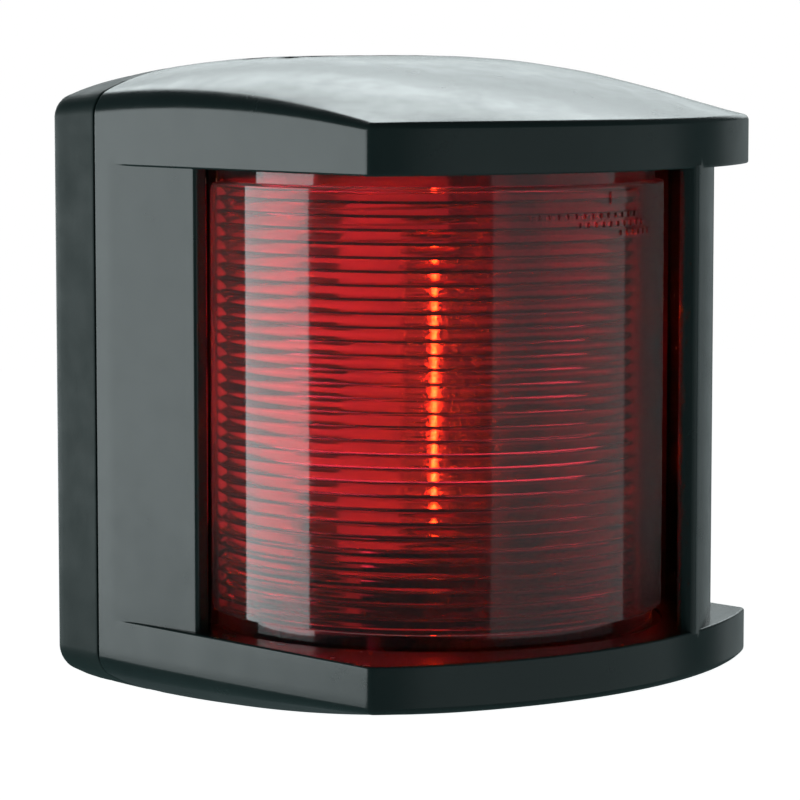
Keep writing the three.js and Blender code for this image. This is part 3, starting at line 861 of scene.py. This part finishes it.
def glass_material():
    """Thin bulb glass, which lets lamp light straight through and keeps only its gloss."""
    material, tree, shader = new_material("bulb_glass_clear")
    shader.inputs["Base Color"].default_value = (0.02, 0.02, 0.02, 1)
    shader.inputs["Alpha"].default_value = 0.16
    dust = noise(tree, 300, 3, 0.5)
    tree.links.new(ramp(tree, dust.outputs["Fac"], 0.02, 0.08), shader.inputs["Roughness"])
    return material


def filament_material():
    """Glowing wire. It is yellow, so that it stays orange through the red lens."""
    material, tree, shader = new_material("hot_tungsten")
    shader.inputs["Base Color"].default_value = (0.3, 0.28, 0.26, 1)
    shader.inputs["Roughness"].default_value = 0.5
    shader.inputs["Emission Strength"].default_value = 11000.0
    material.cycles.emission_sampling = "FRONT_BACK"
    heat = noise(tree, 400, 2, 0.5)
    tree.links.new(ramp(tree, heat.outputs["Fac"], (1.0, 0.92, 0.02), (1.0, 1.0, 0.05)),
                   shader.inputs["Emission Color"])
    return material


# ---------------------------------------------------------------- studio

def aim(obj, target):
    obj.rotation_euler = (Vector(target) - obj.location).to_track_quat("-Z", "Y").to_euler()


def stage_sheet(name, mesh, strength, albedo=0.8):
    """Pale stage surface that glows evenly, as lit paper does."""
    obj = bpy.data.objects.new(name, mesh)
    bpy.context.collection.objects.link(obj)
    material, _, shader = new_material(name)
    shader.inputs["Base Color"].default_value = (albedo, albedo, albedo, 1)
    shader.inputs["Roughness"].default_value = 0.9
    shader.inputs["Emission Color"].default_value = (1, 1, 1, 1)
    shader.inputs["Emission Strength"].default_value = strength
    mesh.materials.append(material)
    return obj


def build_stage():
    """Floor well below the light, which hangs as it does on its wall, inside a white room."""
    floor = bpy.data.meshes.new("floor")
    size, drop = 3.0, 0.30
    floor_z = cad_box[0][2] - drop
    corners = [(-size, -size, floor_z), (size, -size, floor_z), (size, size, floor_z), (-size, size, floor_z)]
    floor.from_pydata(corners, [], [(0, 1, 2, 3)])
    stage_sheet("floor", floor, 0.95).visible_glossy = False
    room = bmesh.new()
    bmesh.ops.create_icosphere(room, subdivisions=4, radius=4.0)
    sphere = bpy.data.meshes.new("room")
    room.to_mesh(sphere)
    room.free()
    white = stage_sheet("room", sphere, 1.0, 0.0)
    white.visible_diffuse = False
    white.visible_glossy = False
    white.visible_transmission = False
    white.visible_shadow = False


def area_light(name, place, target, size, radiance, colour):
    """Softbox that faces target. It is seen in gloss and through the lens, but not by the camera."""
    light = bpy.data.lights.new(name, "AREA")
    light.shape = "RECTANGLE"
    light.size, light.size_y = size
    light.energy = radiance * math.pi * size[0] * size[1]
    light.color = colour
    obj = bpy.data.objects.new(name, light)
    bpy.context.collection.objects.link(obj)
    obj.location = place
    aim(obj, target)
    obj.visible_camera = False


def lamp_glow():
    """The filament's light on what is around it, as three soft lamps that aren't seen themselves."""
    spacing = 8.0
    for k in (-1, 0, 1):
        light = bpy.data.lights.new(f"lamp_glow_{k + 1}", "POINT")
        light.energy = 0.014
        light.color = (1.0, 0.72, 0.55)
        light.shadow_soft_size = 2.2 * MM
        obj = bpy.data.objects.new(light.name, light)
        bpy.context.collection.objects.link(obj)
        obj.location = (0, LAMP_Y * MM, spacing * k * MM)
        obj.visible_camera = False
        obj.visible_glossy = False
        obj.visible_transmission = False


def build_studio():
    scene = bpy.context.scene
    scene.view_settings.view_transform = "Standard"
    world = bpy.data.worlds.new("studio")
    world.use_nodes = True
    world.node_tree.nodes["Background"].inputs["Color"].default_value = (0.75, 0.97, 1.0, 1)
    world.node_tree.nodes["Background"].inputs["Strength"].default_value = 0.09
    scene.world = world
    build_stage()
    middle = (0, -0.03, 0)
    cool = (0.90, 0.99, 1.0)
    area_light("softbox_left", (-0.64, 0.60, -0.02), middle, (0.96, 0.40), 2.7, cool)
    area_light("softbox_behind", (0.02, 0.92, -0.07), middle, (0.7, 0.18), 2.2, cool)
    area_light("softbox_back", (0.57, 0.62, 0.60), middle, (1.0, 0.30), 3.6, cool)
    area_light("softbox_back_low", (0.66, 0.72, 0.30), middle, (1.2, 0.26), 1.5, cool)
    area_light("softbox_right", (0.80, 0.16, -0.06), middle, (0.5, 0.40), 0.24, cool)
    area_light("softbox_front", (0.50, -1.10, -0.22), middle, (2.0, 0.8), 0.30, cool)
    lamp_glow()


def build_camera():
    camera = bpy.data.cameras.new("camera")
    camera.sensor_width = 36.0
    camera.lens = 162.9
    camera.clip_start = 0.01
    obj = bpy.data.objects.new("camera", camera)
    bpy.context.collection.objects.link(obj)
    obj.location = (-0.3592, -0.4236, 0.0520)
    aim(obj, (0.0061, -0.0285, -0.0029))
    bpy.context.scene.camera = obj


# ---------------------------------------------------------------- assembly

build_camera()
build_studio()

cover_black = moulded("cover_black", (0.0040, 0.0125, 0.0122), (0.0060, 0.0155, 0.0150), 0.20, 0.28)
base_black = moulded("base_black", (0.0060, 0.0170, 0.0160), (0.0090, 0.0210, 0.0200), 0.42, 0.55, 0.02, 2400)
base_black.node_tree.nodes["Principled BSDF"].inputs["Specular IOR Level"].default_value = 0.22
seal_rubber = moulded("seal_rubber", (0.008, 0.008, 0.008), (0.014, 0.014, 0.014), 0.75, 0.9, 0.02)
carrier_white = moulded("carrier_white", (0.62, 0.60, 0.55), (0.72, 0.70, 0.65), 0.4, 0.55)
terminal_cream = moulded("terminal_cream", (0.50, 0.46, 0.38), (0.60, 0.56, 0.47), 0.45, 0.6)
lead_red = moulded("lead_red", (0.30, 0.02, 0.015), (0.38, 0.03, 0.02), 0.4, 0.5)
lead_black = moulded("lead_black", (0.012, 0.012, 0.013), (0.018, 0.018, 0.019), 0.4, 0.5)
brass = metal("brass", (0.62, 0.42, 0.16), (0.80, 0.58, 0.27), 0.22, 0.40)
nickel = metal("nickel", (0.55, 0.55, 0.54), (0.74, 0.74, 0.73), 0.16, 0.32)
red_plastic = lens_material()

piece(even_normals(build_shroud()), cover_black, "cover", ["shroud"])
piece(build_lens(), red_plastic, "cover", ["lens"])
piece(even_normals(build_base()), base_black, "base", ["base_plate"])
piece(build_grommet(), seal_rubber, "base", ["cable_grommet"])
piece(even_normals(build_carrier()), carrier_white, "base", ["bulb_carrier"])
piece(build_glass(), glass_material(), "bulb", ["bulb_glass"])
piece(build_cap("end_cap_top", "z"), nickel, "bulb", ["bulb_cap_top"])
piece(build_cap("end_cap_bottom", "-z"), nickel, "bulb", ["bulb_cap_bottom"])
filament = piece(build_filament(), filament_material(), "bulb", ["bulb_filament"])
filament.visible_diffuse = False
filament.visible_glossy = False

for node, slot, material in (("lead_top", "lead_red", lead_red), ("lead_bottom", "lead_black", lead_black)):
    piece(tube(f"{node}_wire", lead_points(node), LEAD_RADIUS), material, "base", [node])

for number, (x, z) in enumerate(((-31, 22), (31, 22), (-31, -22), (31, -22)), 1):
    screw = build_screw(f"lens_fixing_{number}", (x, EAR_REAR, z), "y", 1.1, 5, 2.3, 1.3)
    piece(screw, nickel, "cover", [f"lens_screw_{number}"])
for name, s in (("left", -1), ("right", 1)):
    fixing = build_screw(f"carrier_fixing_{name}", (s * POST_X, -15.6, POST_Z), "-y", 1.25, 12.6, 2.9, 1.8)
    piece(fixing, nickel, "base", [f"carrier_screw_{name}"])
    seat = (s * TERMINAL_X, -11.9, TERMINAL_Z)
    clamp_screw = build_screw(f"clamp_screw_{name}", seat, "-y", 1.2, 3.6, 2.2, 1.4)
    piece(clamp_screw, nickel, f"terminal_screw_{name}", [f"terminal_screw_{name}"])
lock = build_screw("locking_screw", (0, LOCK_Y, LIP_BOTTOM - 1.2), "-z", 1.55, 9.5, 3.2, 2.2)
piece(lock, nickel, "lock_screw", ["lock_screw"])

# CAD pieces whose shapes are right keep them, with softened edges and a better finish
kept = {
    seal_rubber: ["base_gasket", "lens_gasket"],
    terminal_cream: ["terminal_block"],
    brass: ["terminal_clamp_left", "terminal_clamp_right", "contact_foot_top", "contact_foot_bottom",
            "contact_arm_top", "contact_arm_bottom", "contact_rivet_top", "contact_rivet_bottom",
            "lock_insert"],
    nickel: ["lock_washer"],
}
for material, names in kept.items():
    for name in names:
        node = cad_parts[name]
        node.data.materials.clear()
        node.data.materials.append(material)
        bevel(node, 0.12, 2)
